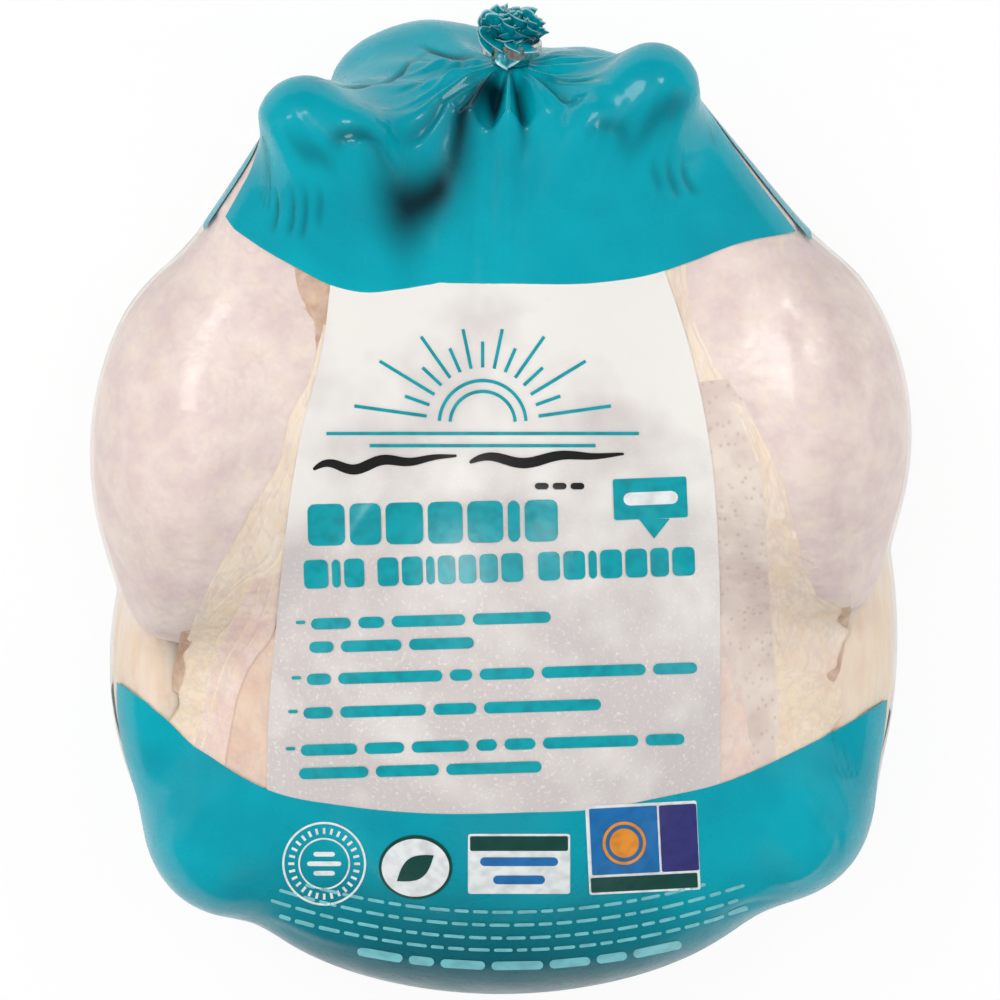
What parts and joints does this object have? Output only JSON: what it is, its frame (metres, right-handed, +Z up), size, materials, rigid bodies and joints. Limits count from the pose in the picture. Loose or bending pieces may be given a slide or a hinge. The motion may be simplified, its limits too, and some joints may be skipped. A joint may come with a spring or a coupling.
{
  "type": "bagged whole chicken",
  "caption": "Whole raw chicken sealed in a tight printed shrink bag, closed with a metal clip and a ruffled tuft of film.",
  "frame": {"origin": "middle of the flat that the bird rests on, under its back", "axes": "+X to the bird's right side, which is at the right of the shown face, +Y from the neck to the clip, +Z up through the breast"},
  "size_m": [0.1884, 0.2373, 0.1109],
  "materials": {
    "bag_film": "clear and printed shrink film over raw skin",
    "clip_metal": "satin",
    "tuft_film": "printed film, glossy"
  },
  "bodies": {
    "root": {"bagged_chicken": "bag_film", "bag_clip": "clip_metal", "bag_tuft": "tuft_film"}
  },
  "joints": []
}
